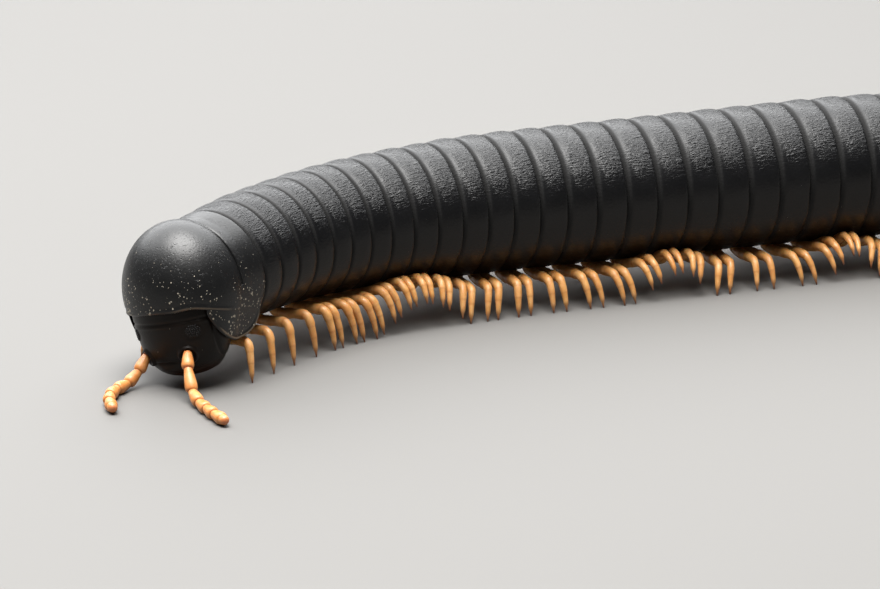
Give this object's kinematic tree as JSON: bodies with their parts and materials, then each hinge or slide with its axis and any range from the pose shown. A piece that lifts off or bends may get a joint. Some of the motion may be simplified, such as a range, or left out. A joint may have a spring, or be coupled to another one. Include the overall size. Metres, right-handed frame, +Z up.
{
  "type": "giant millipede, still life-size model",
  "caption": "Still life-size model of a black giant millipede with orange legs and antennae, walking in a gentle bend with its head lowered.",
  "frame": {"origin": "middle of the whole model's footprint, on the floor", "axes": "+X from head to tail, -Y to the animal's left side, +Z up"},
  "size_m": [0.1276, 0.0335, 0.0138],
  "materials": {
    "cuticle": "satin black cuticle with fine wrinkles",
    "head_shell": "smooth brown-black head shell",
    "eye": "satin black ocelli",
    "appendage": "glossy orange legs and antennae with darker joints"
  },
  "bodies": {
    "root": {"collum": "cuticle", "ring_02": "cuticle", "trunk_01": "cuticle", "trunk_02": "cuticle", "trunk_03": "cuticle", "trunk_04": "cuticle", "trunk_05": "cuticle", "trunk_06": "cuticle", "trunk_07": "cuticle", "trunk_08": "cuticle", "trunk_09": "cuticle", "trunk_10": "cuticle", "trunk_11": "cuticle", "preanal_ring": "cuticle", "anal_valve_left": "cuticle", "anal_valve_right": "cuticle", "subanal_scale": "cuticle", "head": "head_shell", "gnathochilarium": "head_shell", "mandible_left": "head_shell", "mandible_right": "head_shell", "eye_left": "eye", "eye_right": "eye", "antenna_left": "appendage", "antenna_right": "appendage"}
  },
  "joints": []
}
